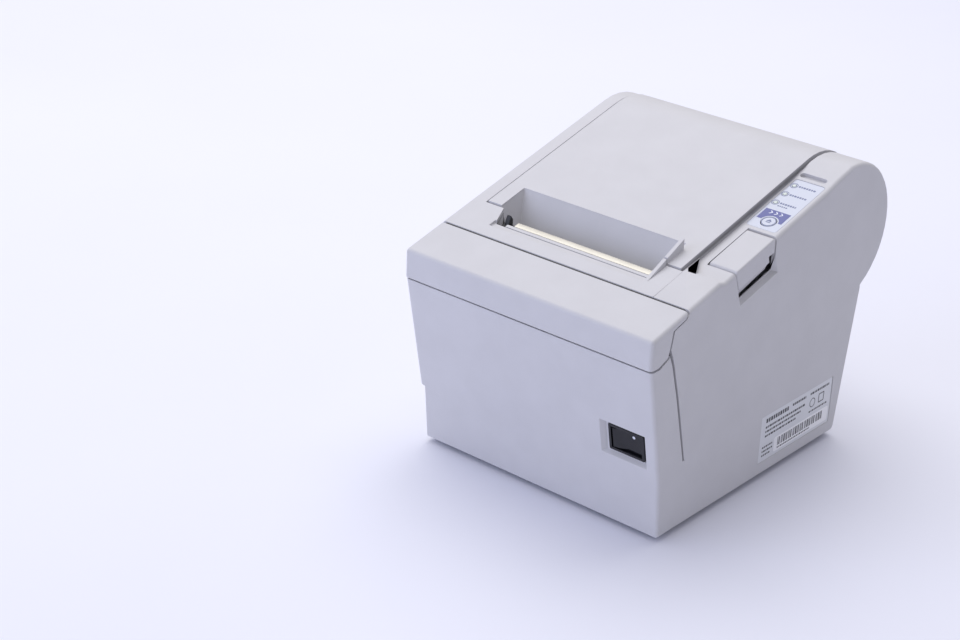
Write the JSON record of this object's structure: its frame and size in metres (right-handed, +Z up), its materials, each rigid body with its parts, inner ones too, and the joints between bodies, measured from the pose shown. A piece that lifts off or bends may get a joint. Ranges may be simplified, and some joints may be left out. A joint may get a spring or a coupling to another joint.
{
  "type": "receipt printer",
  "caption": "Compact thermal receipt printer with a sloping top, paper exit recess with tear bar, hinged paper cover, sliding front cover, cover lever, key panel and front power switch.",
  "frame": {"origin": "middle of the bounding box at the level that the feet stand on", "axes": "+X to the right seen from the front, +Y from the front to the rear, +Z up"},
  "size_m": [0.145, 0.195, 0.148],
  "materials": {
    "case_plastic": "fine-textured moulded plastic, cool off-white",
    "inner_plastic": "smooth moulded plastic, light grey",
    "dark_plastic": "moulded plastic, dark grey",
    "gloss_black": "polished black plastic",
    "rubber": "soft black rubber",
    "roller_rubber": "ground dark grey rubber",
    "zinc_steel": "zinc-plated sheet steel",
    "bright_steel": "bright ground steel",
    "aluminium": "extruded aluminium",
    "brass": "turned brass",
    "gear_plastic": "natural acetal",
    "board": "green solder mask",
    "decal": "pale bluish satin film",
    "label": "satin label film",
    "lamp": "frosted lens"
  },
  "bodies": {
    "root": {"base_screw_1": "zinc_steel", "base_screw_2": "zinc_steel", "base_screw_3": "zinc_steel", "base_screw_4": "zinc_steel", "chassis": "zinc_steel", "connector_plate": "zinc_steel", "control_panel": "decal", "cutter_frame": "zinc_steel", "cutter_motor": "dark_plastic", "dc_inlet": "dark_plastic", "drawer_socket": "dark_plastic", "feed_motor": "dark_plastic", "foot_front_left": "rubber", "foot_front_right": "rubber", "foot_rear_left": "rubber", "foot_rear_right": "rubber", "head_back_plate": "zinc_steel", "head_spring_1": "zinc_steel", "head_spring_2": "zinc_steel", "hinge_pin_left": "zinc_steel", "hinge_pin_right": "zinc_steel", "idler_stub": "zinc_steel", "interface_socket": "aluminium", "lamp_error": "lamp", "lamp_paper": "lamp", "lamp_power": "lamp", "lever_pin": "zinc_steel", "lever_spring": "zinc_steel", "lower_case": "inner_plastic", "main_board": "board", "panel_board": "board", "print_head": "aluminium", "rating_label": "label", "roll_tray": "inner_plastic", "switch_body": "gloss_black", "tear_bar": "bright_steel", "tear_bar_holder": "dark_plastic", "upper_case": "case_plastic"},
    "front_cover": {"front_cover": "case_plastic"},
    "paper_cover": {"paper_cover": "case_plastic", "platen_frame": "dark_plastic", "platen_bush_left": "brass", "platen_bush_right": "brass", "fixed_blade": "bright_steel"},
    "platen": {"platen_roller": "roller_rubber", "platen_shaft": "zinc_steel", "platen_gear": "gear_plastic"},
    "idler": {"idler_gear": "gear_plastic"},
    "pinion": {"motor_pinion": "brass"},
    "blade": {"moving_blade": "bright_steel"},
    "cutter_wheel": {"cutter_gear": "gear_plastic"},
    "lever": {"cover_lever": "case_plastic"},
    "feed_button": {"feed_button": "decal"},
    "power_rocker": {"power_rocker": "gloss_black"}
  },
  "joints": [
    {"name": "front_cover_slide", "type": "slide", "parent": "root", "child": "front_cover", "axis": [0, -1, 0], "range_m": [0, 0.018]},
    {"name": "paper_cover_hinge", "type": "hinge", "parent": "root", "child": "paper_cover", "pos_m": [0, 0.09128, 0.09856], "axis": [-1, 0, 0], "range_deg": [0, 95]},
    {"name": "platen_spin", "type": "hinge", "parent": "paper_cover", "child": "platen", "pos_m": [-0.0085, -0.04, 0.1], "axis": [1, 0, 0], "continuous": true},
    {"name": "idler_spin", "type": "hinge", "parent": "root", "child": "idler", "pos_m": [-0.0612, -0.04, 0.0832], "axis": [1, 0, 0], "continuous": true},
    {"name": "pinion_spin", "type": "hinge", "parent": "root", "child": "pinion", "pos_m": [-0.0612, -0.04492, 0.06967], "axis": [1, 0, 0], "continuous": true},
    {"name": "blade_slide", "type": "slide", "parent": "root", "child": "blade", "axis": [0, -1, 0], "range_m": [-0.01, 0]},
    {"name": "cutter_wheel_spin", "type": "hinge", "parent": "root", "child": "cutter_wheel", "pos_m": [0.049, -0.0665, 0.1094], "axis": [0, 0, 1], "range_deg": [-72, 0.5]},
    {"name": "cover_lever_pivot", "type": "hinge", "parent": "root", "child": "lever", "pos_m": [0.064, -0.0342, 0.1192], "axis": [1, 0, 0], "range_deg": [0, 10], "stiffness_Nm_per_rad": 0.2, "springref_deg": -5.73},
    {"name": "feed_button_press", "type": "slide", "parent": "root", "child": "feed_button", "axis": [0, 0.258, -0.9662], "range_m": [0, 0.0008], "stiffness_N_per_m": 300, "springref_m": -0.0005},
    {"name": "power_rocker_tilt", "type": "hinge", "parent": "root", "child": "power_rocker", "pos_m": [0.0544, -0.08202, 0.04845], "axis": [0, 0.202, -0.9794], "range_deg": [0, 10]}
  ],
  "couplings": [
    {"joint": "idler_spin", "follows": "platen_spin", "ratio": -0.75},
    {"joint": "pinion_spin", "follows": "platen_spin", "ratio": 1.5},
    {"joint": "cutter_wheel_spin", "follows": "blade_slide", "rad_per_m": 125}
  ]
}
